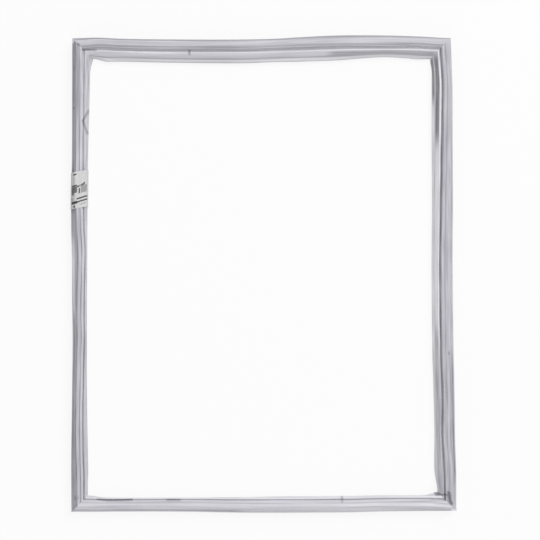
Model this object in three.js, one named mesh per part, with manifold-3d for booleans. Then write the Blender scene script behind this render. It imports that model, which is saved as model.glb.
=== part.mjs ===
// A refrigerator door gasket: one welded loop of soft PVC profile with a flexible magnet strip in each side.
// It lies flat with its magnet side up. Units are millimetres and +Z is up.
// The origin is on the floor, under the middle of the whole part. +Y is the long side's direction.
import * as THREE from "three";
import { mergeVertices } from "three/addons/utils/BufferGeometryUtils.js";
import Module from "manifold-3d";

// Nominal outside size of the welded loop
const FRAME_WIDTH = 560;
const FRAME_LENGTH = 695;

// Flexible magnet strip and the pocket that holds it
const MAGNET_WIDTH = 9;
const MAGNET_THICKNESS = 2.4;
const MAGNET_CLEARANCE = 0.3;
const MAGNET_END_GAP = 18;
const FACE_WALL = 1.2;
const POCKET_FLOOR_WALL = 0.7;
const POCKET_SIDE_WALL = 0.8;
const POCKET_EDGE_BEVEL = 0.8;
const FACE_CREASE = 6.6; // from the pocket's outer side to where its face starts to slope
const FACE_DROP = 0.8; // how much lower the face ends at the pocket's inner side
const POCKET_REST_HEIGHT = 6.1;
const POCKET_SINK_WHEN_ROLLED = 3.8;
const FULL_ROLL = 28;

// Base plate, its lips and the soft walls of the air chamber
const BASE_THICKNESS = 1.2;
const BASE_EDGE_SLANT = 0.4;
const POCKET_OVERHANG = 0.3;
const CHAMBER_WALL = 0.6;
const OUTER_LIP_LENGTH = 2.6;
const OUTER_LIP_RISE = 1.4;
const OUTER_LIP_TIP = 0.8;
const OUTER_FOLD_DEPTH = 1.9;
const INNER_LIP_LENGTH = 8.2;
const INNER_LIP_TIP = 0.7;
const INNER_LIP_FLOOR_CLEARANCE = 0.5;
const INNER_LIP_SAG = 0.6;
const INNER_LIP_MOST_PLAN = 0.995; // share of the lip's length that can show from above

// Push-in dart under the base plate
const DART_HEIGHT = 8;
const DART_STEM = 2.4;
const DART_BARB_WIDTH = 6;
const DART_TIP_WIDTH = 1.8;
const DART_NECK_HEIGHT = 4.2;
const DART_BARB_EDGE = 0.5;
const DART_FROM_BASE_EDGE = 8.4;

// Where the soft part inboard of the pocket has its groove, crest, shoulder and foot, measured inwards
// from the pocket, at a narrow and at a wide place of the loop. Other widths follow in proportion.
const NARROW = { reach: 5.1, groove: 0.9, crest: 2.9, shoulder: 3.7, foot: 3.9 };
const WIDE = { reach: 19.4, groove: 2.2, crest: 5.2, shoulder: 11, foot: 12.6 };

// Heights above the base plate: first where the pocket lies level, then where it is fully rolled
const GROOVE_HEIGHT = [3.6, 1.6];
const CREST_HEIGHT = [7.6, 3.9];
const SHOULDER_HEIGHT = [3.3, 2.2];

// Vents that let the air out, pierced up through the base plate by each welded corner
const VENT_DIAMETER = 2;
const VENT_FROM_DART = 2.6;
const VENT_SIDES = 8;
const VENT_OVERRUN = 1;

// Paper label folded over the left side
const LABEL_LENGTH = 54;
const LABEL_FROM_TOP = 222;
const LABEL_THICKNESS = 0.3;
const LABEL_CLEARANCE = 0.5;
const LABEL_TUCK = 2.4;

// How the stations are spread along a side, and how far the mitre's slant reaches from a corner
const STATIONS_PER_SIDE = 15;
const STATION_CROWDING = 0.45;
const MITRE_REACH = 60;

// Each welded corner: how far it has drifted from the nominal rectangle, and the section's state there
const CORNERS = {
  topLeft: { drift: [-0.7, -1.9], width: 31.5, roll: 12, lean: 1.2 },
  topRight: { drift: [-5.4, -1.6], width: 32, roll: 0, lean: 0.4 },
  bottomRight: { drift: [2.8, 0.7], width: 29, roll: 14, lean: 1.4 },
  bottomLeft: { drift: [-2, -0.8], width: 25.5, roll: 27, lean: 2.8 },
};

// Each side from corner to corner: share of its length, then bow outwards (mm), width of the section
// seen from above (mm), roll of the magnet pocket (degrees) and the pocket's lean inwards (mm)
const SIDES = [
  {
    name: "top",
    from: "topLeft",
    to: "topRight",
    keys: [
      [0.065, 0.9, 36.2, 3, 0.8],
      [0.13, -0.7, 34.6, 0, 0.9],
      [0.25, -1.8, 35, 0, 1],
      [0.44, -2, 35.9, 0, 1],
      [0.54, -0.8, 35.2, 0, 1],
      [0.6, 1.3, 36.8, 0, 2],
      [0.7, 3.8, 37.4, 0, 2.8],
      [0.82, 3.9, 32.8, 0, 2.8],
      [0.92, 2.2, 34, 0, 1],
    ],
  },
  {
    name: "right",
    from: "topRight",
    to: "bottomRight",
    keys: [
      [0.055, 1, 31.4, 0, -0.5],
      [0.106, 1.7, 32.4, 0, -0.6],
      [0.2, 1, 32.5, 0, 0.4],
      [0.34, 0.4, 32.2, 0, 2.6],
      [0.49, -1.2, 32.4, 0, 3.6],
      [0.66, -1.2, 32.8, 0, 3.6],
      [0.76, -0.7, 32.1, 0, 2.9],
      [0.84, -0.7, 31.7, 0, 3.8],
      [0.92, 0.4, 33.4, 3, 2],
    ],
  },
  {
    name: "bottom",
    from: "bottomRight",
    to: "bottomLeft",
    keys: [
      [0.065, 0, 24.8, 25, 2.6],
      [0.19, 0.6, 25.2, 27, 3],
      [0.28, 1.8, 25.5, 27, 3.4],
      [0.44, 2.3, 25.6, 27, 3.6],
      [0.56, 1.9, 24.2, 27, 3.3],
      [0.69, 0.3, 22, 28, 2.6],
      [0.87, -0.3, 21.4, 28, 2.2],
      [0.93, 0, 22.4, 28, 2.4],
    ],
  },
  {
    name: "left",
    from: "bottomLeft",
    to: "topLeft",
    keys: [
      [0.084, 0.3, 26.7, 25, 3.2],
      [0.135, 0.2, 26, 25, 1.8],
      [0.24, -0.7, 23.7, 26, 0.6],
      [0.36, -1.4, 22.6, 27, 1.6],
      [0.44, -0.6, 23.3, 27, 2],
      [0.54, -0.1, 24.2, 26, 3.8],
      [0.6, 1.2, 25.6, 25, 3.4],
      [0.67, 1, 25.7, 24, 2],
      [0.77, 0, 25.6, 24, 0.4],
      [0.87, 0, 27.3, 22, 1.2],
      [0.945, 0, 28.4, 18, 1.2],
    ],
  },
];

// Worked-out sizes of the section, with u inwards from the outer edge and v up from the floor
const POCKET_WIDTH = MAGNET_WIDTH + 2 * (MAGNET_CLEARANCE + POCKET_SIDE_WALL);
const TUNNEL_HEIGHT = MAGNET_THICKNESS + 2 * MAGNET_CLEARANCE;
const POCKET_HEIGHT = TUNNEL_HEIGHT + FACE_WALL + POCKET_FLOOR_WALL;
const BASE_TOP = DART_HEIGHT + BASE_THICKNESS;
const BASE_START = OUTER_LIP_LENGTH;
const POCKET_INNER = BASE_START + POCKET_WIDTH - POCKET_OVERHANG;
const DART_CENTRE = BASE_START + DART_FROM_BASE_EDGE;

const wasm = await Module();
wasm.setup();

function mix(a, b, share) {
  return a + (b - a) * share;
}

// The point where the line through p and q meets the line through r and s
function meet(p, q, r, s) {
  const along = [q[0] - p[0], q[1] - p[1]];
  const other = [s[0] - r[0], s[1] - r[1]];
  const cross = along[0] * other[1] - along[1] * other[0];
  const share = ((r[0] - p[0]) * other[1] - (r[1] - p[1]) * other[0]) / cross;
  return [p[0] + along[0] * share, p[1] + along[1] * share];
}

// The line through p and q moved sideways, to the right of its direction, as a pair of points
function shifted(p, q, distance) {
  const length = Math.hypot(q[0] - p[0], q[1] - p[1]);
  const side = [((q[1] - p[1]) / length) * distance, (-(q[0] - p[0]) / length) * distance];
  return [
    [p[0] + side[0], p[1] + side[1]],
    [q[0] + side[0], q[1] + side[1]],
  ];
}

// The path moved to its right by one wall. Its ends run on to the lines `first` and `last`.
function innerFaceOf(path, distance, first, last) {
  const lines = path.slice(1).map((point, i) => shifted(path[i], point, distance));
  const corners = lines.slice(1).map((line, i) => meet(...lines[i], ...line));
  const start = meet(...lines[0], ...first);
  const end = meet(...lines.at(-1), ...last);
  return [start, ...corners, end];
}

// The magnet pocket's own frame: x from its outer to its inner side, y from its floor to its face
function pocketFrame(state) {
  const roll = THREE.MathUtils.degToRad(state.roll);
  const sink = (POCKET_SINK_WHEN_ROLLED * state.roll) / FULL_ROLL;
  const corner = [POCKET_INNER + state.lean, BASE_TOP + POCKET_REST_HEIGHT - sink];
  return (x, y) => {
    const back = POCKET_WIDTH - x;
    return [
      corner[0] - back * Math.cos(roll) + y * Math.sin(roll),
      corner[1] + back * Math.sin(roll) + y * Math.cos(roll),
    ];
  };
}

// The section at one station: closed outlines of the skin, the air chamber, the magnet tunnel and the magnet
function section(state) {
  const pocket = pocketFrame(state);
  const rolled = state.roll / FULL_ROLL;
  const inner = POCKET_INNER + state.lean;
  const spread = (state.width - inner - NARROW.reach) / (WIDE.reach - NARROW.reach);
  const inboard = (name) => inner + mix(NARROW[name], WIDE[name], spread);
  const above = (heights) => BASE_TOP + mix(heights[0], heights[1], rolled);

  const outerFloor = pocket(0, 0);
  const innerFloor = pocket(POCKET_WIDTH, 0);
  const outerFoot = [BASE_START, BASE_TOP];
  const fold = [
    (outerFloor[0] + outerFoot[0]) / 2 + OUTER_FOLD_DEPTH,
    (outerFloor[1] + outerFoot[1]) / 2,
  ];
  const groove = [inboard("groove"), above(GROOVE_HEIGHT)];
  const crest = [inboard("crest"), above(CREST_HEIGHT)];
  const shoulder = [inboard("shoulder"), above(SHOULDER_HEIGHT)];
  const foot = [inboard("foot"), BASE_TOP];

  // The inner lip keeps its length, so it hangs lower where less of it lies inboard of the foot
  const lipPlan = Math.min(state.width - foot[0], INNER_LIP_LENGTH * INNER_LIP_MOST_PLAN);
  const drop = Math.sqrt(INNER_LIP_LENGTH ** 2 - lipPlan ** 2);
  const lipEnd = Math.max(BASE_TOP - drop, INNER_LIP_FLOOR_CLEARANCE + INNER_LIP_TIP);
  const lipMiddle = [mix(foot[0], state.width, 0.5), mix(BASE_TOP, lipEnd, 0.5) + INNER_LIP_SAG];
  const lipTip = [state.width, lipEnd];

  const barb = DART_BARB_WIDTH / 2;
  const stem = DART_STEM / 2;
  const tip = DART_TIP_WIDTH / 2;
  const rightOfDart = [
    [stem, DART_HEIGHT],
    [stem, DART_NECK_HEIGHT + 3 * DART_BARB_EDGE],
    [barb, DART_NECK_HEIGHT + 2 * DART_BARB_EDGE],
    [stem, DART_NECK_HEIGHT - 2 * DART_BARB_EDGE],
    [barb, DART_NECK_HEIGHT - 3 * DART_BARB_EDGE],
    [tip, 0],
  ];
  const dart = [
    ...rightOfDart.map(([x, y]) => [DART_CENTRE + x, y]),
    ...rightOfDart.toReversed().map(([x, y]) => [DART_CENTRE - x, y]),
  ];

  const outerTip = [0, BASE_TOP + OUTER_LIP_RISE];
  const skin = [
    [0, outerTip[1] - OUTER_LIP_TIP],
    outerTip,
    outerFoot,
    fold,
    outerFloor,
    pocket(0, POCKET_HEIGHT - POCKET_EDGE_BEVEL),
    pocket(POCKET_EDGE_BEVEL, POCKET_HEIGHT),
    pocket(FACE_CREASE, POCKET_HEIGHT),
    pocket(POCKET_WIDTH - POCKET_EDGE_BEVEL, POCKET_HEIGHT - FACE_DROP),
    pocket(POCKET_WIDTH, POCKET_HEIGHT - FACE_DROP - POCKET_EDGE_BEVEL),
    innerFloor,
    groove,
    crest,
    shoulder,
    foot,
    lipMiddle,
    lipTip,
    [lipTip[0] - INNER_LIP_TIP / 2, lipTip[1] - INNER_LIP_TIP],
    [lipMiddle[0] - CHAMBER_WALL, lipMiddle[1] - CHAMBER_WALL],
    [foot[0] - BASE_THICKNESS, DART_HEIGHT],
    ...dart,
    [BASE_START + BASE_EDGE_SLANT, DART_HEIGHT],
  ];

  const floorLine = [
    [0, BASE_TOP],
    [1, BASE_TOP],
  ];
  const pocketFloorLine = [outerFloor, innerFloor];
  const outerWall = innerFaceOf([outerFoot, fold, outerFloor], CHAMBER_WALL, floorLine, pocketFloorLine);
  const innerWall = innerFaceOf(
    [innerFloor, groove, crest, shoulder, foot],
    CHAMBER_WALL,
    pocketFloorLine,
    floorLine,
  );
  const chamber = [...outerWall, ...innerWall];

  const boxIn = (gap) => {
    const side = POCKET_SIDE_WALL + gap;
    const low = POCKET_FLOOR_WALL + gap;
    const high = POCKET_HEIGHT - FACE_WALL - gap;
    return [
      pocket(side, low),
      pocket(side, high),
      pocket(POCKET_WIDTH - side, high),
      pocket(POCKET_WIDTH - side, low),
    ];
  };
  return {
    skin,
    chamber,
    tunnel: boxIn(0),
    magnet: boxIn(MAGNET_CLEARANCE),
    outerTip,
    outerShoulder: pocket(0, POCKET_HEIGHT),
    innerShoulder: pocket(POCKET_WIDTH, POCKET_HEIGHT),
    crest,
    shoulder,
    lipTip,
  };
}

// Nominal corners of the loop, moved by each corner's drift
function cornerPoint(name) {
  const right = name.endsWith("Right") ? 1 : -1;
  const top = name.startsWith("top") ? 1 : -1;
  const [driftX, driftY] = CORNERS[name].drift;
  return new THREE.Vector2((right * FRAME_WIDTH) / 2 + driftX, (top * FRAME_LENGTH) / 2 + driftY);
}

// Each side as a line with its length, its direction, its inward normal and its keys, corners included
const lines = SIDES.map((side) => {
  const start = cornerPoint(side.from);
  const end = cornerPoint(side.to);
  const direction = end.clone().sub(start).normalize();
  const ends = [side.from, side.to].map((name, i) => {
    const corner = CORNERS[name];
    return [i, 0, corner.width, corner.roll, corner.lean];
  });
  return {
    name: side.name,
    start,
    length: start.distanceTo(end),
    direction,
    inward: new THREE.Vector2(direction.y, -direction.x),
    keys: [ends[0], ...side.keys, ends[1]],
  };
});

// How far a point one unit inwards slips along the side at its start and at its end, for a true mitre
lines.forEach((line, i) => {
  const before = lines.at(i - 1);
  const after = lines[(i + 1) % lines.length];
  const slip = (other) => {
    const bisector = line.inward.clone().add(other.inward);
    return bisector.divideScalar(1 + line.inward.dot(other.inward)).dot(line.direction);
  };
  line.startSlip = slip(before);
  line.endSlip = slip(after);
});

// Smooth value of column `column` of the keys, at a share of the side's length
function keyed(keys, share, column) {
  const last = keys.length - 1;
  const next = Math.max(1, keys.findIndex((key) => key[0] >= share));
  const slope = (i) => {
    const a = keys[Math.max(0, i - 1)];
    const b = keys[Math.min(last, i + 1)];
    return i === 0 || i === last ? 0 : (b[column] - a[column]) / (b[0] - a[0]);
  };
  const a = keys[next - 1];
  const b = keys[next];
  const span = b[0] - a[0];
  const t = (share - a[0]) / span;
  const rise = t * t * (3 - 2 * t);
  const leave = t * (1 - t) * (1 - t) * span * slope(next - 1);
  const arrive = t * t * (t - 1) * span * slope(next);
  return mix(a[column], b[column], rise) + leave + arrive;
}

function stateAt(line, share) {
  const [bow, width, roll, lean] = [1, 2, 3, 4].map((column) => keyed(line.keys, share, column));
  return { bow, width, roll, lean };
}

// The point of the loop at a share of a side's length, u inwards from the outer edge and v up
function place(line, share, [u, v]) {
  const { bow } = stateAt(line, share);
  const run = share * line.length;
  const nearStart = Math.max(0, 1 - run / MITRE_REACH);
  const nearEnd = Math.max(0, 1 - (line.length - run) / MITRE_REACH);
  const along = run + u * (line.startSlip * nearStart + line.endSlip * nearEnd);
  const spot = line.start
    .clone()
    .addScaledVector(line.direction, along)
    .addScaledVector(line.inward, u - bow);
  return new THREE.Vector3(spot.x, spot.y, v);
}

// One ring of points at a station, for the outline named `part`
function ringAt(line, share, part) {
  return section(stateAt(line, share))[part].map((point) => place(line, share, point));
}

// A closed surface through rings of equal length. With `outline`, the first ring's own section, it is a
// bar with flat ends, and without it the rings close into a loop. Every outline runs clockwise.
function loft(rings, outline) {
  const count = rings[0].length;
  const positions = rings.flat().flatMap((point) => point.toArray());
  const faces = [];
  const spans = outline ? rings.length - 1 : rings.length;
  for (let i = 0; i < spans; i += 1) {
    const here = i * count;
    const there = ((i + 1) % rings.length) * count;
    for (let j = 0; j < count; j += 1) {
      const next = (j + 1) % count;
      faces.push(here + j, here + next, there + j);
      faces.push(here + next, there + next, there + j);
    }
  }
  if (outline) {
    const flat = outline.map(([u, v]) => new THREE.Vector2(u, v));
    const last = (rings.length - 1) * count;
    THREE.ShapeUtils.triangulateShape(flat, []).forEach(([a, b, c]) => {
      faces.push(a, b, c);
      faces.push(last + a, last + c, last + b);
    });
  }
  const geometry = new THREE.BufferGeometry();
  geometry.setAttribute("position", new THREE.Float32BufferAttribute(positions, 3));
  geometry.setIndex(faces);
  return geometry;
}

function solidOf(geometry) {
  const clean = geometry.clone();
  clean.deleteAttribute("normal");
  clean.deleteAttribute("uv");
  const merged = mergeVertices(clean, 1e-4);
  return new wasm.Manifold(
    new wasm.Mesh({
      numProp: 3,
      vertProperties: merged.attributes.position.array,
      triVerts: new Uint32Array(merged.index.array),
    }),
  );
}

function geometryOf(solid) {
  const mesh = solid.getMesh();
  const geometry = new THREE.BufferGeometry();
  geometry.setAttribute("position", new THREE.BufferAttribute(mesh.vertProperties, 3));
  geometry.setIndex(new THREE.BufferAttribute(mesh.triVerts, 1));
  return geometry;
}

// Shares of a side's length, closer together by the corners, where the section changes fastest
function stationShares() {
  return Array.from({ length: STATIONS_PER_SIDE }, (_, i) => {
    const even = i / STATIONS_PER_SIDE;
    return even - (STATION_CROWDING * Math.sin(2 * Math.PI * even)) / (2 * Math.PI);
  });
}

function wholeLoop(part) {
  return loft(lines.flatMap((line) => stationShares().map((share) => ringAt(line, share, part))));
}

// A vent stands by each corner on the mitre, beside the dart, and reaches up into the magnet tunnel
function ventAt(line) {
  const state = stateAt(line, 0);
  const u = DART_CENTRE - VENT_FROM_DART;
  const spot = place(line, 0, [u, 0]);
  const tunnel = section(state).tunnel;
  const ceiling = mix(tunnel[1][1], tunnel[2][1], (u - tunnel[1][0]) / (tunnel[2][0] - tunnel[1][0]));
  const top = ceiling - TUNNEL_HEIGHT / 2;
  const bottom = DART_HEIGHT - VENT_OVERRUN;
  const vent = new THREE.CylinderGeometry(VENT_DIAMETER / 2, VENT_DIAMETER / 2, top - bottom, VENT_SIDES);
  vent.rotateX(Math.PI / 2);
  vent.translate(spot.x, spot.y, (top + bottom) / 2);
  return vent;
}

function gasketGeometry() {
  let solid = solidOf(wholeLoop("skin"));
  solid = solid.subtract(solidOf(wholeLoop("chamber")));
  solid = solid.subtract(solidOf(wholeLoop("tunnel")));
  lines.forEach((line) => {
    solid = solid.subtract(solidOf(ventAt(line)));
  });
  return geometryOf(solid);
}

// A magnet strip has the stations of its side between its two ends, so it bends as the tunnel does
function magnetGeometry(line) {
  const gap = MAGNET_END_GAP / line.length;
  const shares = [gap, ...stationShares().filter((share) => share > gap && share < 1 - gap), 1 - gap];
  return loft(
    shares.map((share) => ringAt(line, share, "magnet")),
    section(stateAt(line, gap)).magnet,
  );
}

// The label's section: from under the outer lip, over the pocket and the crest, to under the inner lip
function labelOutline(state) {
  const parts = section(state);
  const reach = LABEL_CLEARANCE + LABEL_THICKNESS;
  const path = (gap) => [
    [parts.outerTip[0] + LABEL_TUCK, DART_HEIGHT - gap],
    [parts.outerTip[0] - gap, parts.outerTip[1] - OUTER_LIP_TIP - 2 * gap],
    [parts.outerTip[0] - gap, parts.outerTip[1] + gap],
    [parts.outerShoulder[0] - gap, parts.outerShoulder[1] + gap / 2],
    [parts.outerShoulder[0] + gap, parts.outerShoulder[1] + gap],
    [parts.innerShoulder[0] + gap, parts.innerShoulder[1] + gap],
    [parts.crest[0] + gap, parts.crest[1] + gap],
    [parts.shoulder[0] + gap, parts.shoulder[1] + gap],
    [parts.lipTip[0] + gap, parts.lipTip[1] + gap],
    [parts.lipTip[0] + gap, parts.lipTip[1] - INNER_LIP_TIP],
  ];
  return [...path(reach), ...path(LABEL_CLEARANCE).toReversed()];
}

function labelGeometry(line) {
  const top = line.length - LABEL_FROM_TOP;
  const ends = [(top - LABEL_LENGTH / 2) / line.length, (top + LABEL_LENGTH / 2) / line.length];
  const between = stationShares().filter((share) => share > ends[0] && share < ends[1]);
  return loft(
    [ends[0], ...between, ends[1]].map((share) =>
      labelOutline(stateAt(line, share)).map((point) => place(line, share, point)),
    ),
    labelOutline(stateAt(line, ends[0])),
  );
}

const PVC = { color: 0xc9c8cf, roughness: 0.48, metalness: 0 };
const FERRITE = { color: 0x35312f, roughness: 0.8, metalness: 0 };
const PAPER = { color: 0xe9e8e4, roughness: 0.85, metalness: 0 };

function named(name, geometry, look) {
  const mesh = new THREE.Mesh(geometry, new THREE.MeshStandardMaterial(look));
  mesh.name = name;
  return mesh;
}

const gasket = new THREE.Group();
gasket.add(named("gasket_frame", gasketGeometry(), PVC));
lines.forEach((line) => gasket.add(named(`magnet_strip_${line.name}`, magnetGeometry(line), FERRITE)));
const leftSide = lines.find((line) => line.name === "left");
gasket.add(named("label_band", labelGeometry(leftSide), PAPER));

// The whole part is moved so that the origin lies on the floor under the middle of its box
const box = new THREE.Box3().setFromObject(gasket);
const middle = box.getCenter(new THREE.Vector3());
gasket.position.set(-middle.x, -middle.y, -box.min.z);

export default gasket;
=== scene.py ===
import math

import bpy
import numpy as np
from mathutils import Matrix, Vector, noise


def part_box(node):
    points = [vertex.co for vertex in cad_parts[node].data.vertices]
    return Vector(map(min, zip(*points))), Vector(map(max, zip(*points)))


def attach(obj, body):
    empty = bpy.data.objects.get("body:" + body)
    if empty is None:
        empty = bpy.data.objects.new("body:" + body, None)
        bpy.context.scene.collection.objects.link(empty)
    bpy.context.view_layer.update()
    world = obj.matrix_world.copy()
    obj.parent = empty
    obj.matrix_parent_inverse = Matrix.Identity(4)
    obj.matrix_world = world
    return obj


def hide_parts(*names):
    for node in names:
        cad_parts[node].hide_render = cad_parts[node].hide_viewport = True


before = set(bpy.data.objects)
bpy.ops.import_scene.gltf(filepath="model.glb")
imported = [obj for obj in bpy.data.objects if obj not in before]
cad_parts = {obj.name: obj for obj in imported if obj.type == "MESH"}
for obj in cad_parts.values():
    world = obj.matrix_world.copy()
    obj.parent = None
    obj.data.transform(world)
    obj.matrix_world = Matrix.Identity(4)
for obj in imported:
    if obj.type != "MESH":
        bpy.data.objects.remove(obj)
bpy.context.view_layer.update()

MM = 0.001

# Nominal outside size of the welded loop, as in the CAD model
FRAME_WIDTH = 560.0
FRAME_LENGTH = 695.0

# The section's magnet strip, pocket, base plate, lips and dart, as in the CAD model
MAGNET_WIDTH = 9.0
MAGNET_THICKNESS = 2.4
MAGNET_CLEARANCE = 0.3
FACE_WALL = 1.2
POCKET_FLOOR_WALL = 0.7
POCKET_SIDE_WALL = 0.8
FACE_CREASE = 6.6
FACE_DROP = 0.8
FACE_CROWN = 0.05
POCKET_REST_HEIGHT = 6.1
POCKET_SINK_WHEN_ROLLED = 3.8
FULL_ROLL = 28.0
BASE_THICKNESS = 1.2
BASE_EDGE_SLANT = 0.4
POCKET_OVERHANG = 0.3
LIP_WALL = 0.6
OUTER_LIP_LENGTH = 2.6
OUTER_LIP_RISE = 1.4
OUTER_LIP_TIP = 0.8
OUTER_FOLD_DEPTH = 1.9
INNER_LIP_LENGTH = 8.2
INNER_LIP_TIP = 0.7
INNER_LIP_FLOOR_CLEARANCE = 0.5
INNER_LIP_SAG = 0.6
INNER_LIP_MOST_PLAN = 0.995
DART_HEIGHT = 8.0
DART_STEM = 2.4
DART_BARB_WIDTH = 6.0
DART_TIP_WIDTH = 1.8
DART_NECK_HEIGHT = 4.2
DART_BARB_EDGE = 0.5
DART_FROM_BASE_EDGE = 8.4

# Where the soft part inboard of the pocket has its turns, measured inwards from the pocket, at a
# narrow and at a wide place of the loop
NARROW = {"reach": 5.1, "groove": 0.9, "crest": 2.9, "shoulder": 3.7, "foot": 3.9}
WIDE = {"reach": 19.4, "groove": 2.2, "crest": 5.2, "shoulder": 11.0, "foot": 12.6}

# Heights above the base plate: first where the pocket lies level, then where it is fully rolled
GROOVE_HEIGHT = (3.6, 1.6)
CREST_HEIGHT = (7.6, 3.9)
SHOULDER_HEIGHT = (3.3, 2.2)

# How far the mitre's slant reaches from a corner, and how the CAD's stations are spread on a side
MITRE_REACH = 60.0
CAD_STATIONS = 15
STATION_CROWDING = 0.45

# Where the scene leaves the CAD model to follow the photograph: how much shorter the inner lip is
# on each side, the share of a side over which that eases to its neighbour's, the least width of
# the lip seen from above, and how much further in the left side lies
INNER_LIP_TRIM = {"top": 1.6, "right": 2.2, "bottom": 2.4, "left": 2.6}
TRIM_EASE = 0.05
LEAST_LIP_PLAN = 1.5
LEFT_INSET = 0.7

# Worked-out sizes of the section, with u inwards from the outer edge and v up from the floor
POCKET_WIDTH = MAGNET_WIDTH + 2 * (MAGNET_CLEARANCE + POCKET_SIDE_WALL)
POCKET_HEIGHT = MAGNET_THICKNESS + 2 * MAGNET_CLEARANCE + FACE_WALL + POCKET_FLOOR_WALL
BASE_TOP = DART_HEIGHT + BASE_THICKNESS
BASE_START = OUTER_LIP_LENGTH
POCKET_INNER = BASE_START + POCKET_WIDTH - POCKET_OVERHANG
DART_CENTRE = BASE_START + DART_FROM_BASE_EDGE

# Paper label folded over the left side, as in the CAD model, and how far askew it was stuck on
LABEL_LENGTH = 54.0
LABEL_FROM_TOP = 222.0
LABEL_THICKNESS = 0.3
LABEL_CLEARANCE = 0.5
LABEL_TUCK = 2.4
LABEL_SKEW = 0.19
LABEL_SKEW_CENTRE = 12

# Each welded corner: its drift, then width, roll and lean of the section there
CORNERS = {
    "topLeft": ((-0.7 + LEFT_INSET, -1.9), 31.5, 12, 1.2),
    "topRight": ((-5.4, -1.6), 32, 0, 0.4),
    "bottomRight": ((2.8, 0.7), 29, 14, 1.4),
    "bottomLeft": ((-2 + LEFT_INSET, -0.8), 25.5, 27, 2.8),
}

# Each side: share of its length, bow outwards, width seen from above, roll and lean of the pocket
SIDES = (
    ("top", "topLeft", "topRight", (
        (0.065, 0.9, 36.2, 3, 0.8),
        (0.13, -0.7, 34.6, 0, 0.9),
        (0.25, -1.8, 35, 0, 1),
        (0.44, -2, 35.9, 0, 1),
        (0.54, -0.8, 35.2, 0, 1),
        (0.6, 1.3, 36.8, 0, 2),
        (0.7, 3.8, 37.4, 0, 2.8),
        (0.82, 3.9, 32.8, 0, 2.8),
        (0.92, 2.2, 34, 0, 1),
    )),
    ("right", "topRight", "bottomRight", (
        (0.055, 1, 31.4, 0, -0.5),
        (0.106, 1.7, 32.4, 0, -0.6),
        (0.2, 1, 32.5, 0, 0.4),
        (0.34, 0.4, 32.2, 0, 2.6),
        (0.49, -1.2, 32.4, 0, 3.6),
        (0.66, -1.2, 32.8, 0, 3.6),
        (0.76, -0.7, 32.1, 0, 2.9),
        (0.84, -0.7, 31.7, 0, 3.8),
        (0.92, 0.4, 33.4, 3, 2),
    )),
    ("bottom", "bottomRight", "bottomLeft", (
        (0.065, 0, 24.8, 25, 2.6),
        (0.19, 0.6, 25.2, 27, 3),
        (0.28, 1.8, 25.5, 27, 3.4),
        (0.44, 2.3, 25.6, 27, 3.6),
        (0.56, 1.9, 24.2, 27, 3.3),
        (0.69, 0.3, 22, 28, 2.6),
        (0.87, -0.3, 21.4, 28, 2.2),
        (0.93, 0, 22.4, 28, 2.4),
    )),
    ("left", "bottomLeft", "topLeft", (
        (0.084, 0.3, 26.7, 25, 3.2),
        (0.135, 0.2, 26, 25, 1.8),
        (0.24, -0.7, 23.7, 26, 0.6),
        (0.36, -1.4, 22.6, 27, 1.6),
        (0.44, -0.6, 23.3, 27, 2),
        (0.54, -0.1, 24.2, 26, 3.8),
        (0.6, 1.2, 25.6, 25, 3.4),
        (0.67, 1, 25.7, 24, 2),
        (0.77, 0, 25.6, 24, 0.4),
        (0.87, 0, 27.3, 22, 1.2),
        (0.945, 0, 28.4, 18, 1.2),
    )),
)

# Painted shade (above 0) or painted highlight (below 0) on each band of the section on each side,
# standing in for how the light falls on it
BAND_SHADE = {
    "top": {
        "lip_edge": 0.1, "lip_foot": 0.0, "outer_wall": 0.1, "crease": 0.1, "inner_face": 0.4,
        "pocket_edge": 0.1, "groove": -0.6, "crest": -0.45, "slope": -0.1, "foot": 0.45,
        "inner_lip": -0.3, "lip_end": 0.9,
    },
    "right": {
        "lip_edge": -0.3, "lip_foot": 0.2, "outer_wall": 0.1, "outer_shoulder": 0.1, "outer_face": 0.15,
        "crease": 0.6, "inner_face": 0.1, "pocket_edge": -0.1, "groove": 0.8, "crest": -0.6,
        "slope": -0.5, "foot": -0.3, "inner_lip": -0.5, "lip_end": -0.3,
    },
    "bottom": {
        "lip_edge": -0.4, "lip_foot": -0.1, "outer_wall": -0.3, "outer_shoulder": -0.05,
        "outer_face": -0.2, "crease": 0.2, "inner_face": -0.1, "pocket_edge": -0.2, "groove": -0.7,
        "crest": -0.4, "slope": -0.4, "foot": 0.0, "inner_lip": -0.5, "lip_end": -0.3,
    },
    "left": {
        "lip_edge": 0.0, "lip_foot": 0.4, "outer_wall": 0.2, "outer_shoulder": 0.65, "outer_face": 0.18,
        "crease": 0.9, "inner_face": 0.05, "pocket_edge": 0.05, "groove": 0.5, "crest": 0.0,
        "slope": 0.1, "foot": 0.3, "inner_lip": 0.0, "lip_end": 0.0,
    },
}
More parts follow.
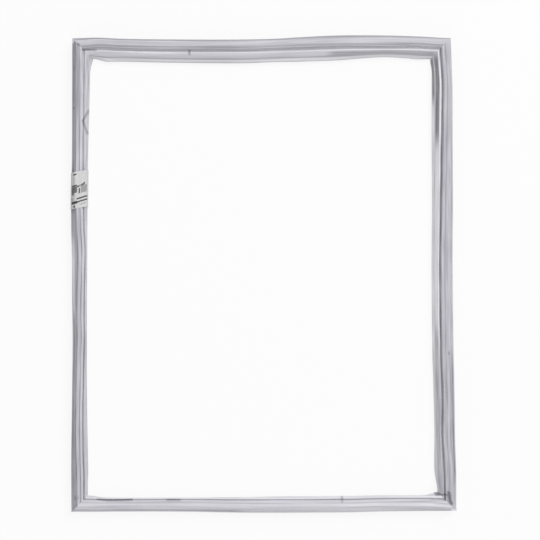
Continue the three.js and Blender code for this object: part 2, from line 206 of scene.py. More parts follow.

# Extra painted shade (below 0, painted highlight) of a band over a stretch of a side: side, band, start,
# end, fade (shares), how much more
SHADE_STRETCHES = (
    ("top", "slope", 0.68, 1.0, 0.02, 0.45),
    ("right", "lip_foot", 0.66, 0.93, 0.02, 0.8),
    ("right", "outer_shoulder", 0.66, 0.95, 0.02, 0.35),
    ("right", "inner_face", 0.66, 0.95, 0.03, 0.12),
    ("right", "crest", 0.66, 1.0, 0.03, 0.8),
    ("right", "slope", 0.62, 1.0, 0.03, 0.7),
    ("right", "slope", 0.0, 0.22, 0.03, 1.2),
    ("right", "foot", 0.66, 1.0, 0.03, 0.5),
    ("right", "inner_lip", 0.66, 1.0, 0.03, 0.3),
    ("right", "inner_lip", 0.0, 0.13, 0.02, 1.2),
    ("right", "lip_end", 0.0, 0.13, 0.02, 0.9),
    ("left", "lip_foot", 0.42, 0.58, 0.02, -1.6),
    ("left", "outer_face", 0.83, 1.0, 0.04, 0.4),
    ("left", "groove", 0.51, 1.0, 0.03, -0.9),
    ("left", "foot", 0.66, 1.0, 0.04, 0.2),
    ("left", "lip_edge", 0.0, 0.3, 0.03, 0.2),
    ("bottom", "lip_foot", 0.0, 0.56, 0.02, -0.8),
)

# Where the inner lip's edge curls up: side, start, end, fade (shares), by how much (mm)
CURLS = (
    ("right", 0.03, 0.24, 0.03, 2.6),
    ("top", 0.05, 0.98, 0.015, 1.6),
)

# Short strokes of painted shade on the upper side, where gaps in the welds and nicks fall dark: points,
# half width, depth
SHADE_STROKES = (
    (((-270.2, 335.1), (-274.1, 320.8), (-275.6, 298.8)), 1.6, 0.55),
    (((-270.6, 335.6), (-269.6, 334.4)), 2.0, 0.8),
    (((-267.5, 327.8), (-244.8, 327.8)), 1.2, 0.3),
    (((252.9, -322.6), (270.4, -322.6)), 1.5, 0.7),
    (((271.2, -319.0), (272.7, -330.0), (274.9, -335.1)), 2.2, 0.9),
    (((-275.6, -324.9), (-273.4, -332.2), (-271.2, -326.3)), 1.6, 0.6),
    (((-281.5, -348.3), (-269.8, -326.3)), 1.2, 0.3),
    (((-277.8, -343.2), (-276.8, -342.2)), 1.5, 0.5),
    (((-277.1, 244.2), (-277.1, 242.2)), 1.5, 0.5),
    (((-255.8, 240.2), (-263.6, 224.1), (-258.0, 206.6)), 1.5, 0.6),
    (((271.2, -114.5), (271.2, -116.5)), 1.8, 0.6),
    (((-81.9, 331.0), (-79.9, 331.0)), 1.8, 0.5),
    (((-108.0, 327.4), (-108.0, 321.5)), 1.3, 0.5),
    (((115.3, -325.6), (115.3, -332.9)), 1.2, 0.35),
    (((-243.0, -329.6), (-221.0, -331.0), (-192.0, -330.0)), 0.9, 0.6),
    (((-140.0, -330.4), (-122.0, -330.4)), 1.0, 0.3),
)

# The label's print as plain bars, the first of them a painted shadow where the paper's top edge spans the
# valley: from the outer edge inwards, from the top edge down (mm), darkness
PRINT_AND_SHADOW = (
    # A painted shadow under the paper's top edge where it spans the valley, not print
    (3.2, 8.4, 0.2, 2.2, 1.0),
    (1.0, 9.5, 16.4, 18.6, 0.95),
    (1.0, 9.5, 18.6, 28.2, 0.82),
    (1.0, 5.0, 28.2, 31.0, 0.75),
    (9.6, 12.6, 18.2, 20.8, 0.95),
    (12.6, 15.8, 17.6, 20.0, 0.6),
    (15.8, 18.6, 17.2, 20.0, 0.95),
    (18.2, 20.4, 16.0, 18.6, 0.95),
    (11.7, 13.4, 22.5, 30.2, 1.0),
    (14.6, 22.7, 19.4, 30.5, 0.5),
    (1.0, 2.6, 34.5, 39.0, 0.7),
    (8.8, 23.4, 36.2, 38.4, 1.0),
    (1.0, 10.2, 40.2, 44.2, 1.0),
    (10.2, 23.4, 41.0, 43.2, 0.95),
    (13.5, 22.0, 46.2, 47.6, 0.4),
    (4.2, 7.0, 46.4, 49.4, 1.0),
)


def mix(a, b, share):
    return a + (b - a) * share


def rise(value, low, high):
    """A smooth step from 0 at low to 1 at high."""
    t = min(1.0, max(0.0, (value - low) / (high - low)))
    return t * t * (3 - 2 * t)


def within(value, start, end, fade):
    """1 between start and end, and smoothly 0 outside."""
    return rise(value, start - fade, start + fade) * (1 - rise(value, end - fade, end + fade))


def keyed(keys, share, column):
    """The smooth value of a column of the keys at a share of the side's length."""
    last = len(keys) - 1
    after = next(i for i in range(1, last + 1) if keys[i][0] >= share or i == last)

    def slope(i):
        if i in (0, last):
            return 0.0
        return (keys[i + 1][column] - keys[i - 1][column]) / (keys[i + 1][0] - keys[i - 1][0])

    a, b = keys[after - 1], keys[after]
    span = b[0] - a[0]
    t = (share - a[0]) / span
    ease = t * t * (3 - 2 * t)
    leave = t * (1 - t) * (1 - t) * span * slope(after - 1)
    arrive = t * t * (t - 1) * span * slope(after)
    return mix(a[column], b[column], ease) + leave + arrive


def corner_point(name):
    right = 1 if name.endswith("Right") else -1
    top = 1 if name.startswith("top") else -1
    drift = CORNERS[name][0]
    return np.array((right * FRAME_WIDTH / 2 + drift[0], top * FRAME_LENGTH / 2 + drift[1]))


class Side:
    """One side of the loop from corner to corner, with its direction and its inward normal."""

    def __init__(self, name, start, end, keys):
        self.name = name
        self.start = corner_point(start)
        self.end = corner_point(end)
        run = self.end - self.start
        self.length = float(np.hypot(*run))
        self.direction = run / self.length
        self.inward = np.array((self.direction[1], -self.direction[0]))
        ends = [(i, 0) + CORNERS[corner][1:] for i, corner in enumerate((start, end))]
        self.keys = (ends[0],) + keys + (ends[1],)

    def slip(self, other):
        """How far a point one unit inwards slips along this side on the mitre with the other."""
        bisector = (self.inward + other.inward) / (1 + self.inward @ other.inward)
        return float(bisector @ self.direction)

    def state(self, share):
        return [keyed(self.keys, share, column) for column in (1, 2, 3, 4)]

    def curl(self, share):
        return sum(amount * within(share, start, end, fade)
                   for side, start, end, fade, amount in CURLS if side == self.name)

    def trim(self, share):
        """How much shorter the inner lip is than in the CAD. Two sides meet halfway at a corner."""
        own = INNER_LIP_TRIM[self.name]
        before, after = self.neighbour_trims
        near_start = 0.5 * (1 - rise(share, 0.0, TRIM_EASE))
        near_end = 0.5 * rise(share, 1 - TRIM_EASE, 1.0)
        return own + (before - own) * near_start + (after - own) * near_end

    # The painted shade (above 0) or painted highlight (below 0) of a band at a share of the side
    def shade_and_wear(self, kind, share):
        extra = sum(amount * within(share, start, end, fade)
                    for side, band, start, end, fade, amount in SHADE_STRETCHES
                    if side == self.name and band == kind)
        return BAND_SHADE[self.name].get(kind, 0.0) + extra

    def place(self, share, bow, u):
        """The plan point at a share of the length, u inwards from the outer edge."""
        run = share * self.length
        near_start = max(0.0, 1 - run / MITRE_REACH)
        near_end = max(0.0, 1 - (self.length - run) / MITRE_REACH)
        along = run + u * (self.start_slip * near_start + self.end_slip * near_end)
        return self.start + self.direction * along + self.inward * (u - bow)


def make_sides():
    sides = [Side(*row) for row in SIDES]
    for i, side in enumerate(sides):
        before, after = sides[i - 1], sides[(i + 1) % len(sides)]
        side.start_slip = side.slip(before)
        side.end_slip = side.slip(after)
        side.neighbour_trims = (INNER_LIP_TRIM[before.name], INNER_LIP_TRIM[after.name])
    return sides


def section_corners(width, roll, lean, curl, trim):
    """The section's corners at one station: u, v, reach of the rounding, its points, kind of band."""
    angle = math.radians(roll)
    rolled = roll / FULL_ROLL
    inner = POCKET_INNER + lean
    floor_height = BASE_TOP + POCKET_REST_HEIGHT - POCKET_SINK_WHEN_ROLLED * rolled
    spread = (width - inner - NARROW["reach"]) / (WIDE["reach"] - NARROW["reach"])

    def pocket(x, y):
        back = POCKET_WIDTH - x
        return (
            inner - back * math.cos(angle) + y * math.sin(angle),
            floor_height + back * math.sin(angle) + y * math.cos(angle),
        )

    def inboard(name):
        return inner + mix(NARROW[name], WIDE[name], spread)

    def above(heights):
        return BASE_TOP + mix(heights[0], heights[1], rolled)

    outer_floor = pocket(0, 0)
    inner_floor = pocket(POCKET_WIDTH, 0)
    foot_outer = (BASE_START, BASE_TOP)
    fold = ((outer_floor[0] + foot_outer[0]) / 2 + OUTER_FOLD_DEPTH, (outer_floor[1] + foot_outer[1]) / 2)
    groove = (inboard("groove"), above(GROOVE_HEIGHT))
    crest = (inboard("crest"), above(CREST_HEIGHT))
    shoulder = (inboard("shoulder"), above(SHOULDER_HEIGHT))
    foot = (inboard("foot"), BASE_TOP)
    slope = (mix(crest[0], shoulder[0], 0.5), mix(crest[1], shoulder[1], 0.5))
    reach = width - trim
    lip_plan = min(max(reach - foot[0], LEAST_LIP_PLAN), INNER_LIP_LENGTH * INNER_LIP_MOST_PLAN)
    drop = math.sqrt(INNER_LIP_LENGTH ** 2 - lip_plan ** 2)
    lip_end = max(BASE_TOP - drop, INNER_LIP_FLOOR_CLEARANCE + INNER_LIP_TIP) + curl
    lip_middle = (mix(foot[0], reach, 0.5), mix(BASE_TOP, lip_end - curl, 0.5) + INNER_LIP_SAG)
    barb, stem, tip = DART_BARB_WIDTH / 2, DART_STEM / 2, DART_TIP_WIDTH / 2
    right_of_dart = (
        (stem, DART_HEIGHT, 0.1, 1),
        (stem, DART_NECK_HEIGHT + 3 * DART_BARB_EDGE, 0.1, 1),
        (barb, DART_NECK_HEIGHT + 2 * DART_BARB_EDGE, 0.2, 2),
        (stem, DART_NECK_HEIGHT - 2 * DART_BARB_EDGE, 0.1, 1),
        (barb, DART_NECK_HEIGHT - 3 * DART_BARB_EDGE, 0.2, 2),
        (tip, 0.0, 0.1, 1),
    )
    dart = [(DART_CENTRE + x, y, cut, n, "dart") for x, y, cut, n in right_of_dart]
    dart += [(DART_CENTRE - x, y, cut, n, "dart") for x, y, cut, n in reversed(right_of_dart)]
    tip_height = BASE_TOP + OUTER_LIP_RISE
    inner_top = POCKET_HEIGHT - FACE_DROP
    inner_middle = pocket(mix(FACE_CREASE, POCKET_WIDTH, 0.5), mix(POCKET_HEIGHT, inner_top, 0.5))
    return [
        (0.0, tip_height - OUTER_LIP_TIP, 0.25, 2, "lip_edge"),
        (0.0, tip_height, 0.3, 3, "lip_edge"),
        (*foot_outer, 0.5, 3, "lip_foot"),
        (*fold, 1.2, 4, "outer_wall"),
        (*outer_floor, 0.8, 3, "outer_wall"),
        (*pocket(0, POCKET_HEIGHT), 1.1, 5, "outer_shoulder"),
        (*pocket(FACE_CREASE / 2, POCKET_HEIGHT + FACE_CROWN), 1.2, 2, "outer_face"),
        (*pocket(FACE_CREASE, POCKET_HEIGHT), 0.7, 3, "crease"),
        (*inner_middle, 1.2, 2, "inner_face"),
        (*pocket(POCKET_WIDTH, inner_top), 0.9, 4, "pocket_edge"),
        (*inner_floor, 0.6, 3, "pocket_edge"),
        (*groove, 0.8, 4, "groove"),
        (*crest, 1.6, 6, "crest"),
        (*slope, 0.8, 2, "slope"),
        (*shoulder, 1.6, 3, "slope"),
        (*foot, 0.9, 4, "foot"),
        (*lip_middle, 2.6, 4, "inner_lip"),
        (reach, lip_end, 0.3, 3, "lip_end"),
        (reach - INNER_LIP_TIP / 2, lip_end - INNER_LIP_TIP, 0.2, 2, "lip_end"),
        (lip_middle[0] - LIP_WALL, lip_middle[1] - LIP_WALL, 1.5, 2, "under"),
        (foot[0] - BASE_THICKNESS, DART_HEIGHT, 0.4, 2, "under"),
        *dart,
        (BASE_START + BASE_EDGE_SLANT, DART_HEIGHT, 0.3, 2, "under"),
    ]


# Bands whose painted shade fades towards both ends of their curve, and how much is left of it there
THIN_LINES = ("lip_foot", "crease", "groove", "foot", "crest", "lip_end")
THIN_LINE_ENDS = 0.35

# The most of an edge that the rounding of one of its two corners may take
LONGEST_CUT = 0.46


def rounded(corners):
    """The corners with each one rounded by a curve: points, and each point's kind and weight."""
    points, kinds = [], []
    count = len(corners)
    for i, (u, v, cut, n, kind) in enumerate(corners):
        here = np.array((u, v))
        legs = []
        for other in (corners[i - 1], corners[(i + 1) % count]):
            leg = np.array(other[:2]) - here
            size = float(np.hypot(*leg)) or 1e-6
            legs.append(here + leg * min(cut / size, LONGEST_CUT))
        for step in range(n):
            t = step / (n - 1) if n > 1 else 0.5
            points.append(legs[0] * (1 - t) ** 2 + here * 2 * t * (1 - t) + legs[1] * t * t)
            away = abs(2 * t - 1) if kind in THIN_LINES else 0.0
            kinds.append((kind, mix(1.0, THIN_LINE_ENDS, away)))
    return np.array(points), kinds


# Shares of each side's length where it has fine marks of painted shade
FINE_PLACES = {
    "left": (0.75, 0.815, 0.86),
    "top": (0.3, 0.36),
    "right": (0.665,),
    "bottom": (0.28, 0.7, 0.85),
}

# Distance between stations, how far from a weld, a corner or a mark the closer ones reach, and the
# least distance left before a side's end (mm)
WELD_REACH = 3
WELD_STEP = 0.6
CORNER_REACH = 34.0
FINE_REACH = 12.0
FINE_STEP = 1.3
PLAIN_STEP = 3.0
LEAST_LAST_STEP = 0.4


def station_shares(side):
    """Shares of the side's length, every few millimetres and closer by the corners and the marks."""
    shares = []
    run = 0.0
    while run < side.length - LEAST_LAST_STEP:
        shares.append(run / side.length)
        nearest = min(run, side.length - run)
        marked = any(abs(run - share * side.length) < FINE_REACH for share in FINE_PLACES[side.name])
        if nearest < WELD_REACH:
            run += WELD_STEP
        elif nearest < CORNER_REACH or marked:
            run += FINE_STEP
        else:
            run += PLAIN_STEP
    return shares


# Where a stroke starts to fade and how long its fade is, both in half widths of the stroke
STROKE_CORE = 0.4
STROKE_FADE = 1.2


def stroke_shade(plans):
    """How dark the strokes' painted shade makes each place of the upper side."""
    shade_depths = np.zeros(len(plans))
    for points, half_width, dark in SHADE_STROKES:
        for a, b in zip(np.array(points), np.array(points[1:])):
            along = b - a
            t = np.clip((plans - a) @ along / (along @ along), 0.0, 1.0)
            distance = np.hypot(*(plans - a - t[:, None] * along).T)
            fade = np.clip((distance / half_width - STROKE_CORE) / STROKE_FADE, 0.0, 1.0)
            shade_depths = np.maximum(shade_depths, dark * (1 - fade * fade * (3 - 2 * fade)))
    return shade_depths


# Small waves of the soft loop: the pocket's sway (mm), the waves' length (mm), the pocket's tilt
# (degrees), and the layers of the noise that sway and tilt are read from
WAVE_HEIGHT = 0.3
WAVE_LENGTH = 38.0
WAVE_TILT = 1.5
WAVE_LAYER = 3.1
TILT_LAYER = 9.7

# Fine streaks of wear along the loop: how strong, and their width and length (mm)
STREAK_DEPTH = 0.3
STREAK_WIDTH = 1.5
STREAK_LENGTH = 90.0


def ring_quads(total, count, closed):
    """Faces between neighbouring rings of count points, and from the last to the first if closed."""
    faces = []
    for i in range(total if closed else total - 1):
        here, there = i * count, ((i + 1) % total) * count
        for j in range(count):
            k = (j + 1) % count
            faces.append((here + j, here + k, there + k, there + j))
    return faces


def smooth_mesh(name, vertices, faces, layer_name, values):
    """A smoothly shaded mesh with one value at each vertex."""
    mesh = bpy.data.meshes.new(name)
    mesh.from_pydata(vertices, [], faces)
    layer = mesh.attributes.new(layer_name, "FLOAT", "POINT")
    layer.data.foreach_set("value", values)
    mesh.polygons.foreach_set("use_smooth", [True] * len(faces))
    mesh.update()
    return mesh


def gasket_mesh(sides, shift):
    """The whole welded loop as one closed mesh, with its painted shade and highlight and its streaks of
    wear at each vertex.
    """
    rings, plans, shade_and_wear, upper = [], [], [], []
    for side in sides:
        for share in station_shares(side):
            bow, width, roll, lean = side.state(share)
            trim = side.trim(share)
            middle = side.place(share, bow, 0.0) / WAVE_LENGTH
            wave = noise.noise(Vector((middle[0], middle[1], WAVE_LAYER)))
            tilt = noise.noise(Vector((middle[0], middle[1], TILT_LAYER)))
            corners = section_corners(
                width, roll + WAVE_TILT * tilt, lean + WAVE_HEIGHT * wave, side.curl(share), trim)
            outline, kinds = rounded(corners)
            shade_by_band = {kind: side.shade_and_wear(kind, share) for kind, weight in kinds}
            along = share * side.length / STREAK_LENGTH
            ring = []
            for (u, v), (kind, weight) in zip(outline, kinds):
                plan = side.place(share, bow, u) + shift
                ring.append((plan[0] * MM, plan[1] * MM, v * MM))
                plans.append(plan)
                streak = noise.noise(Vector((u / STREAK_WIDTH, along, middle[1])))
                # The band's painted shade and highlight, plus the random streaks of wear
                shade_and_wear.append(shade_by_band[kind] * weight + STREAK_DEPTH * streak)
                upper.append(kind not in ("dart", "under"))
            rings.append(ring)
    # The strokes paint shade on the upper side only
    shade_depths = stroke_shade(np.array(plans)) * np.array(upper)
    shade_and_wear = np.where(shade_depths > 0, np.maximum(shade_and_wear, shade_depths), shade_and_wear)
    faces = ring_quads(len(rings), len(rings[0]), True)
    vertices = [point for ring in rings for point in ring]
    return smooth_mesh("gasket_profile", vertices, faces, "shade_and_wear", shade_and_wear)


def cad_shift(sides):
    """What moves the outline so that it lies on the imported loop, worked out at the CAD's stations."""
    points = []
    for side in sides:
        for i in range(CAD_STATIONS):
            even = i / CAD_STATIONS
            share = even - STATION_CROWDING * math.sin(2 * math.pi * even) / (2 * math.pi)
            points.append(side.place(share, side.state(share)[0], 0.0))
    low, high = np.min(points, axis=0), np.max(points, axis=0)
    # The CAD's own left side lies further out than these points
    low[0] -= LEFT_INSET
    node_low, node_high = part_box("gasket_frame")
    middle = np.array([(node_low[i] + node_high[i]) / 2 / MM for i in (0, 1)])
    return middle - (low + high) / 2


def label_path(side, share, gap):
    """The paper's line across the section, gap above the skin, from under one lip to under the other."""
    width, roll, lean = side.state(share)[1:]
    places = {}
    for u, v, cut, n, kind in section_corners(width, roll, lean, 0.0, side.trim(share)):
        places.setdefault(kind, []).append((u, v))
    outer_tip = places["lip_edge"][1]
    outer = places["outer_shoulder"][0]
    inner = places["pocket_edge"][0]
    crest = places["crest"][0]
    shoulder = places["slope"][1]
    lip_tip = places["lip_end"][0]
    return [
        (LABEL_TUCK, DART_HEIGHT - gap, 0.3, 3, "under"),
        (-gap, outer_tip[1] - OUTER_LIP_TIP - 2 * gap, 0.5, 4, "fold"),
        (-gap, outer_tip[1] + gap, 0.9, 5, "fold"),
        (outer[0] - gap * 0.6, outer[1] + gap, 1.6, 8, "shoulder"),
        (mix(outer[0], inner[0], 0.5), mix(outer[1], inner[1], 0.5) + gap, 3, 10, "face"),
        (inner[0] + gap, inner[1] + gap, 1.8, 8, "edge"),
        (crest[0] + gap, crest[1] + gap, 1.2, 6, "crest"),
        (shoulder[0] + gap, shoulder[1] + gap, 1.2, 6, "slope"),
        (lip_tip[0] + gap, lip_tip[1] + gap, 0.5, 6, "lip"),
        (lip_tip[0] + gap, lip_tip[1] - INNER_LIP_TIP, 0.2, 2, "under"),
    ]


# The print and its painted shadow hang lower than the paper's top edge, and climb inwards from one place
# on (mm)
PRINT_DROP = 3.0
PRINT_SLANT = 0.17
PRINT_FLAT_TO = 9.0

# The soft edge of the print's bars and of the painted shadow (mm), and their grain: how fine across and
# down, its layer, its range
BAR_EDGE = 0.25
GRAIN_ACROSS = 0.9
GRAIN_DOWN = 1.4
GRAIN_LAYER = 5.0
GRAIN_RANGE = (0.75, 1.1)

# The paper's grid, and its crinkles: height (mm), how fine across and along, layer, from what height
LABEL_ROW_STEP = 0.45
LABEL_COLUMNS = 92
CRINKLE_HEIGHT = 0.22
CRINKLE_ACROSS = 0.25
CRINKLE_ALONG = 0.12
CRINKLE_LAYER = 1.0
CRINKLE_ABOVE = DART_HEIGHT + 3


def label_line(side, share, gap):
    """The paper's line as evenly spread points, its two ends where the path's ends are."""
    corners = label_path(side, share, gap)
    curve = rounded(corners)[0][corners[0][3]:-corners[-1][3]]
    points = np.vstack([corners[0][:2], curve, corners[-1][:2]])
    runs = np.concatenate(([0.0], np.cumsum(np.hypot(*np.diff(points, axis=0).T))))
    places = np.linspace(0.0, runs[-1], LABEL_COLUMNS)
    return np.column_stack([np.interp(places, runs, points[:, axis]) for axis in (0, 1)])


def ink_and_shadow_at(across, down):
    """How dark the print and the painted shadow are at a place of the label."""
    dark = 0.0
    place = Vector((across * GRAIN_ACROSS, down * GRAIN_DOWN, GRAIN_LAYER))
    grain = 0.5 + 0.5 * noise.noise(place)
    for left, right, top, bottom, amount in PRINT_AND_SHADOW:
        inside = within(across, left, right, BAR_EDGE) * within(down, top, bottom, BAR_EDGE)
        dark = max(dark, amount * inside * mix(*GRAIN_RANGE, grain))
    return min(dark, 1.0)


def label_mesh(side, shift):
    """The paper band as a thin closed sheet, with its ink and its painted shadow."""
    top = side.length - LABEL_FROM_TOP
    start, end = top - LABEL_LENGTH / 2, top + LABEL_LENGTH / 2
    rows = int(LABEL_LENGTH / LABEL_ROW_STEP)
    vertices, ink_and_shadow = [], []
    for i in range(rows + 1):
        run = mix(start, end, i / rows)
        share = run / side.length
        bow = side.state(share)[0]
        outer = label_line(side, share, LABEL_CLEARANCE + LABEL_THICKNESS)
        inner = label_line(side, share, LABEL_CLEARANCE)
        for line, print_and_shadow in ((outer, True), (inner[::-1], False)):
            for u, v in line:
                askew = share + LABEL_SKEW * (u - LABEL_SKEW_CENTRE) / side.length
                plan = side.place(askew, bow, u) + shift
                spot = Vector((u * CRINKLE_ACROSS, run * CRINKLE_ALONG, CRINKLE_LAYER))
                crinkle = CRINKLE_HEIGHT * max(0.0, noise.noise(spot))
                lift = crinkle if v > CRINKLE_ABOVE else 0.0
                vertices.append((plan[0] * MM, plan[1] * MM, (v + lift) * MM))
                down = end - run - PRINT_DROP + PRINT_SLANT * max(0.0, u - PRINT_FLAT_TO)
                ink_and_shadow.append(ink_and_shadow_at(u, down) if print_and_shadow and v > DART_HEIGHT else 0.0)
    count = 2 * LABEL_COLUMNS
    faces = ring_quads(rows + 1, count, False)
    for base, first in ((0, True), (rows * count, False)):
        for j in range(LABEL_COLUMNS - 1):
            quad = (base + j, base + j + 1, base + count - 2 - j, base + count - 1 - j)
            faces.append(quad[::-1] if first else quad)
    return smooth_mesh("label_paper", vertices, faces, "ink_and_shadow", ink_and_shadow)


def new_object(name, mesh):
    made = bpy.data.objects.new(name, mesh)
    bpy.context.scene.collection.objects.link(made)
    return made


def srgb(r, g, b):
    """A colour written as 0 to 255 screen values, in the linear values that a socket takes."""
    out = []
    for channel in (r, g, b):
        c = channel / 255
        out.append(c / 12.92 if c <= 0.04045 else ((c + 0.055) / 1.055) ** 2.4)
    return (*out, 1.0)


def new_material(name):
    material = bpy.data.materials.new(name)
    material.use_nodes = True
    tree = material.node_tree
    shader = next(node for node in tree.nodes if node.type == "BSDF_PRINCIPLED")
    return material, tree, shader


def colour_mix(tree, factor, first, second):
    """A mix of two colours, each a socket or a colour, by a socket."""
    node = tree.nodes.new("ShaderNodeMix")
    node.data_type = "RGBA"
    tree.links.new(factor, node.inputs["Factor"])
    colours = [socket for socket in node.inputs if socket.type == "RGBA"]
    for socket, value in zip(colours, (first, second)):
        if isinstance(value, tuple):
            socket.default_value = value
        else:
            tree.links.new(value, socket)
    return next(socket for socket in node.outputs if socket.type == "RGBA")


def noise_value(tree, scale, detail):
    place = tree.nodes.new("ShaderNodeTexCoord").outputs["Object"]
    node = tree.nodes.new("ShaderNodeTexNoise")
    node.inputs["Scale"].default_value = scale
    node.inputs["Detail"].default_value = detail
    tree.links.new(place, node.inputs["Vector"])
    return node.outputs["Fac"]


def ramp(tree, factor, low, high, dark, light):
    node = tree.nodes.new("ShaderNodeValToRGB")
    node.color_ramp.elements[0].position = low
    node.color_ramp.elements[0].color = dark
    node.color_ramp.elements[1].position = high
    node.color_ramp.elements[1].color = light
    tree.links.new(factor, node.inputs["Fac"])
    return node.outputs["Color"]


def attribute(tree, name):
    node = tree.nodes.new("ShaderNodeAttribute")
    node.attribute_name = name
    return node.outputs["Fac"]


def scaled(tree, value, factor):
    """The value times factor, kept between 0 and 1."""
    node = tree.nodes.new("ShaderNodeMath")
    node.operation = "MULTIPLY"
    node.use_clamp = True
    node.inputs[1].default_value = factor
    tree.links.new(value, node.inputs[0])
    return node.outputs[0]


def add_bump(tree, shader, height, strength, distance):
    node = tree.nodes.new("ShaderNodeBump")
    node.inputs["Strength"].default_value = strength
    node.inputs["Distance"].default_value = distance
    tree.links.new(height, node.inputs["Height"])
    tree.links.new(node.outputs["Normal"], shader.inputs["Normal"])


# Colours as screen values from 0 to 255
PVC_DARK = (191, 190, 197)
PVC_LIGHT = (200, 199, 205)
PVC_MOTTLE = (172, 170, 178)
# The colours that the painted shade and the painted highlight mix towards; the streaks of wear use them
# too
PVC_SHADE_AND_SOIL = (98, 95, 103)
PVC_HIGHLIGHT_AND_RUB = (252, 251, 255)
PAPER_DARK = (192, 192, 193)
PAPER_LIGHT = (207, 207, 208)
# The ink's colour, also used for the painted shadow on the label
INK_AND_SHADOW = (24, 23, 27)
FERRITE_DARK = (44, 41, 40)
FERRITE_LIGHT = (62, 58, 56)

# How much of the mottle's colour shows, and how deep the surface's fine grain is (m)
MOTTLE_AMOUNT = 0.16
GRAIN_DEPTH = 0.0003


def pvc_material():
    material, tree, shader = new_material("soft_pvc")
    shade_and_wear = attribute(tree, "shade_and_wear")
    clouds = noise_value(tree, scale=14, detail=3)
    base = ramp(tree, clouds, 0.35, 0.65, srgb(*PVC_DARK), srgb(*PVC_LIGHT))
    specks = scaled(tree, noise_value(tree, scale=160, detail=3), MOTTLE_AMOUNT)
    mottled = colour_mix(tree, specks, base, srgb(*PVC_MOTTLE))
    # Above 0 the attribute paints shade and below 0 it paints highlight, on top of the streaks of wear
    shaded_and_soiled = colour_mix(tree, scaled(tree, shade_and_wear, 1.0), mottled, srgb(*PVC_SHADE_AND_SOIL))
    lit_and_rubbed = colour_mix(tree, scaled(tree, shade_and_wear, -1.0), shaded_and_soiled, srgb(*PVC_HIGHLIGHT_AND_RUB))
    tree.links.new(lit_and_rubbed, shader.inputs["Base Color"])
    shader.inputs["Roughness"].default_value = 0.45
    add_bump(tree, shader, noise_value(tree, scale=1100, detail=4), 0.1, GRAIN_DEPTH)
    return material


def paper_material():
    material, tree, shader = new_material("label_paper")
    fibres = noise_value(tree, scale=260, detail=4)
    base = ramp(tree, fibres, 0.3, 0.7, srgb(*PAPER_DARK), srgb(*PAPER_LIGHT))
    print_and_shadow = scaled(tree, attribute(tree, "ink_and_shadow"), 1.0)
    inked_and_shaded = colour_mix(tree, print_and_shadow, base, srgb(*INK_AND_SHADOW))
    tree.links.new(inked_and_shaded, shader.inputs["Base Color"])
    shader.inputs["Roughness"].default_value = 0.85
    add_bump(tree, shader, noise_value(tree, scale=700, detail=4), 0.15, GRAIN_DEPTH)
    return material


def ferrite_material():
    material, tree, shader = new_material("ferrite")
    grain = noise_value(tree, scale=400, detail=4)
    base = ramp(tree, grain, 0.3, 0.75, srgb(*FERRITE_DARK), srgb(*FERRITE_LIGHT))
    tree.links.new(base, shader.inputs["Base Color"])
    shader.inputs["Roughness"].default_value = 0.8
    add_bump(tree, shader, grain, 0.15, GRAIN_DEPTH)
    return material


# The photograph's frame: 540 pixels across, and the middle of the picture in the part's own frame
PIXEL = 1.464
VIEW_CENTRE = (9.9, 6.0)
CAMERA_HEIGHT = 2600.0
TRUE_SCALE_HEIGHT = 12.0
PICTURE = 540
SENSOR_WIDTH = 36.0
VIEW_DEPTH = 20.0


def add_camera():
    data = bpy.data.cameras.new("camera")
    data.sensor_width = SENSOR_WIDTH
    data.lens = SENSOR_WIDTH * CAMERA_HEIGHT / (PIXEL * PICTURE)
    data.clip_end = VIEW_DEPTH
    camera = bpy.data.objects.new("camera", data)
    height = CAMERA_HEIGHT + TRUE_SCALE_HEIGHT
    camera.location = (VIEW_CENTRE[0] * MM, VIEW_CENTRE[1] * MM, height * MM)
    bpy.context.scene.collection.objects.link(camera)
    bpy.context.scene.camera = camera


def add_lamp(name, place, size, power):
    data = bpy.data.lights.new(name, "AREA")
    data.shape = "SQUARE"
    data.size = size
    data.energy = power
    lamp = bpy.data.objects.new(name, data)
    lamp.location = place
    lamp.rotation_euler = (-Vector(place)).to_track_quat("-Z", "Y").to_euler()
    bpy.context.scene.collection.objects.link(lamp)


def add_world(strength):
    world = bpy.data.worlds.new("studio")
    world.use_nodes = True
    bpy.context.scene.world = world
    background = next(node for node in world.node_tree.nodes if node.type == "BACKGROUND")
    background.inputs["Color"].default_value = (1, 1, 1, 1)
    background.inputs["Strength"].default_value = strength


# The floor's half size (m), its grey in the light of the lamps, and its share of white glow
FLOOR_HALF = 8.0
FLOOR_GREY = 0.8
FLOOR_GLOW = 0.86


def largest(tree, first, second):
    node = tree.nodes.new("ShaderNodeMath")
    node.operation = "MAXIMUM"
    tree.links.new(first, node.inputs[0])
    tree.links.new(second, node.inputs[1])
    return node.outputs[0]


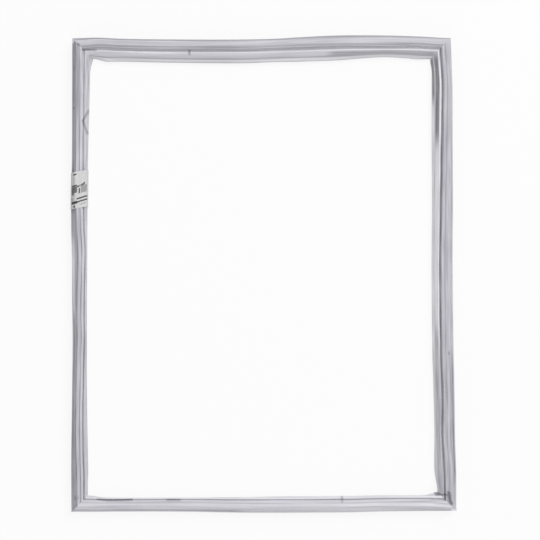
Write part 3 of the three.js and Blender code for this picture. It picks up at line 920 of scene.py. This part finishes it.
def add_floor():
    """A pale floor that looks nearly white to the camera and in reflections, with faint shadows."""
    corners = [(x * FLOOR_HALF, y * FLOOR_HALF, 0) for x, y in ((-1, -1), (1, -1), (1, 1), (-1, 1))]
    mesh = bpy.data.meshes.new("floor")
    mesh.from_pydata(corners, [], [(0, 1, 2, 3)])
    floor = new_object("floor", mesh)
    material, tree, shader = new_material("floor_paint")
    shader.inputs["Base Color"].default_value = (FLOOR_GREY, FLOOR_GREY, FLOOR_GREY, 1)
    shader.inputs["Roughness"].default_value = 0.9
    glow = tree.nodes.new("ShaderNodeEmission")
    glow.inputs["Color"].default_value = (1, 1, 1, 1)
    glow.inputs["Strength"].default_value = 1.0
    path = tree.nodes.new("ShaderNodeLightPath").outputs
    seen = largest(tree, path["Is Camera Ray"], path["Is Glossy Ray"])
    seen = largest(tree, seen, path["Is Transmission Ray"])
    blend = tree.nodes.new("ShaderNodeMixShader")
    tree.links.new(scaled(tree, seen, FLOOR_GLOW), blend.inputs[0])
    tree.links.new(shader.outputs[0], blend.inputs[1])
    tree.links.new(glow.outputs[0], blend.inputs[2])
    output = next(node for node in tree.nodes if node.type == "OUTPUT_MATERIAL")
    tree.links.new(blend.outputs[0], output.inputs["Surface"])
    mesh.materials.append(material)


def dress(piece, material, node):
    """Gives a piece its finish, hangs it under the root body and hides the CAD node that it stands for.
    """
    piece.data.materials.append(material)
    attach(piece, "root")
    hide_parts(node)


# Strength of the even light, and each lamp's name, place (m), size (m) and power (W)
WORLD_STRENGTH = 0.62
LAMPS = (
    ("key", (2.6, 2.9, 3.6), 2.2, 150),
    ("fill", (-0.6, -3.2, 2.2), 2.4, 30),
)

bpy.context.scene.view_settings.view_transform = "Standard"
add_camera()
add_world(WORLD_STRENGTH)
for lamp in LAMPS:
    add_lamp(*lamp)
add_floor()

sides = make_sides()
shift = cad_shift(sides)
left_side = next(side for side in sides if side.name == "left")
pvc = pvc_material()
paper = paper_material()
ferrite = ferrite_material()
dress(new_object("gasket_profile", gasket_mesh(sides, shift)), pvc, "gasket_frame")
dress(new_object("label_paper", label_mesh(left_side, shift)), paper, "label_band")

finishes = {"gasket_frame": pvc, "label_band": paper}
for name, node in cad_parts.items():
    node.data.materials.clear()
    node.data.materials.append(finishes.get(name, ferrite))
